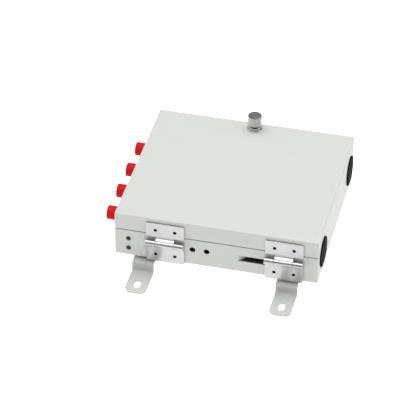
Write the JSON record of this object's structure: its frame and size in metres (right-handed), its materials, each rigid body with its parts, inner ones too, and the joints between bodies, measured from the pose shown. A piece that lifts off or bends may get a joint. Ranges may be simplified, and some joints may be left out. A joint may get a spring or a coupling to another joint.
{
  "type": "fiber termination box",
  "caption": "Wall-mount sheet-metal fibre termination box with a hinged lid, captive thumbscrew, capped FC ports, cable grommets, slotted feet and a splice tray inside.",
  "frame": {"origin": "on the mounting plane under the feet, at the middle of the whole object including its capped ports", "axes": "+Z away from the mounting plane, out of the lid; -Y towards the hinges; -X towards the FC ports"},
  "size_m": [0.218, 0.256, 0.0782],
  "materials": {
    "case_paint": "light grey fine-texture powder coat",
    "hinge_steel": "satin plated steel",
    "black_screw": "black oxide, satin",
    "zinc_steel": "bright zinc plate",
    "rivet_aluminium": "mill finish",
    "port_nickel": "nickel-plated brass",
    "sleeve_ceramic": "polished zirconia",
    "cap_red": "soft moulded plastic, semi-gloss",
    "grommet_rubber": "matt moulded rubber",
    "thumbscrew_nickel": "nickel plate, turned and knurled",
    "tray_plastic": "moulded ABS",
    "cover_clear": "clear moulded plastic",
    "post_brass": "turned brass",
    "clip_plastic": "moulded nylon"
  },
  "bodies": {
    "case": {"base_tray": "case_paint", "adapter_panel": "case_paint", "front_left_foot": "case_paint", "front_right_foot": "case_paint", "rear_left_foot": "case_paint", "rear_right_foot": "case_paint", "left_hinge_base_leaf": "hinge_steel", "right_hinge_base_leaf": "hinge_steel", "left_hinge_pin": "hinge_steel", "right_hinge_pin": "hinge_steel", "hinge_base_screws": "black_screw", "panel_screws": "black_screw", "hinge_base_nuts": "zinc_steel", "panel_nuts": "zinc_steel", "latch_bracket": "zinc_steel", "latch_nut": "zinc_steel", "tray_studs": "zinc_steel", "tray_nuts": "zinc_steel", "front_cable_anchor": "zinc_steel", "rear_cable_anchor": "zinc_steel", "earth_stud": "zinc_steel", "earth_washer": "zinc_steel", "earth_nut": "zinc_steel", "strength_member_screws": "zinc_steel", "foot_rivets": "rivet_aluminium", "anchor_rivets": "rivet_aluminium", "fc_adapter_1": "port_nickel", "fc_adapter_2": "port_nickel", "fc_adapter_3": "port_nickel", "fc_adapter_4": "port_nickel", "adapter_washers": "port_nickel", "adapter_nuts": "port_nickel", "alignment_sleeves": "sleeve_ceramic", "front_cable_grommet": "grommet_rubber", "rear_cable_grommet": "grommet_rubber", "splice_tray": "tray_plastic", "splice_holder": "tray_plastic", "strength_member_posts": "post_brass", "fibre_clips": "clip_plastic"},
    "lid": {"lid": "case_paint", "left_hinge_lid_leaf": "hinge_steel", "right_hinge_lid_leaf": "hinge_steel", "hinge_lid_screws": "black_screw", "hinge_lid_nuts": "zinc_steel", "thumbscrew_ferrule": "thumbscrew_nickel"},
    "thumbscrew_carrier": {"thumbscrew_retainer": "zinc_steel"},
    "thumbscrew": {"thumbscrew": "thumbscrew_nickel"},
    "tray_cover": {"splice_tray_cover": "cover_clear"},
    "outer_cap_1": {"outer_dust_cap_1": "cap_red"},
    "inner_cap_1": {"inner_dust_cap_1": "cap_red"},
    "outer_cap_2": {"outer_dust_cap_2": "cap_red"},
    "inner_cap_2": {"inner_dust_cap_2": "cap_red"},
    "outer_cap_3": {"outer_dust_cap_3": "cap_red"},
    "inner_cap_3": {"inner_dust_cap_3": "cap_red"},
    "outer_cap_4": {"outer_dust_cap_4": "cap_red"},
    "inner_cap_4": {"inner_dust_cap_4": "cap_red"}
  },
  "joints": [
    {"name": "lid_hinge", "type": "hinge", "parent": "case", "child": "lid", "pos_m": [0.0076, -0.0923, 0.0355], "axis": [1, 0, 0], "range_deg": [0, 160]},
    {"name": "thumbscrew_feed", "type": "slide", "parent": "lid", "child": "thumbscrew_carrier", "axis": [0, 0, -1], "range_m": [0, 0.00245]},
    {"name": "thumbscrew_turn", "type": "hinge", "parent": "thumbscrew_carrier", "child": "thumbscrew", "pos_m": [0.0076, 0.0792, 0.0624], "axis": [0, 0, -1], "range_deg": [0, 1260]},
    {"name": "tray_cover_lift", "type": "slide", "parent": "case", "child": "tray_cover", "axis": [0, 0, 1], "range_m": [0, 0.018]},
    {"name": "outer_cap_1_pull", "type": "slide", "parent": "case", "child": "outer_cap_1", "axis": [-1, 0, 0], "range_m": [0, 0.018]},
    {"name": "inner_cap_1_pull", "type": "slide", "parent": "case", "child": "inner_cap_1", "axis": [1, 0, 0], "range_m": [0, 0.012]},
    {"name": "outer_cap_2_pull", "type": "slide", "parent": "case", "child": "outer_cap_2", "axis": [-1, 0, 0], "range_m": [0, 0.018]},
    {"name": "inner_cap_2_pull", "type": "slide", "parent": "case", "child": "inner_cap_2", "axis": [1, 0, 0], "range_m": [0, 0.012]},
    {"name": "outer_cap_3_pull", "type": "slide", "parent": "case", "child": "outer_cap_3", "axis": [-1, 0, 0], "range_m": [0, 0.018]},
    {"name": "inner_cap_3_pull", "type": "slide", "parent": "case", "child": "inner_cap_3", "axis": [1, 0, 0], "range_m": [0, 0.012]},
    {"name": "outer_cap_4_pull", "type": "slide", "parent": "case", "child": "outer_cap_4", "axis": [-1, 0, 0], "range_m": [0, 0.018]},
    {"name": "inner_cap_4_pull", "type": "slide", "parent": "case", "child": "inner_cap_4", "axis": [1, 0, 0], "range_m": [0, 0.012]}
  ],
  "couplings": [
    {"joint": "thumbscrew_feed", "follows": "thumbscrew_turn", "m_per_rad": 0.0001114}
  ]
}
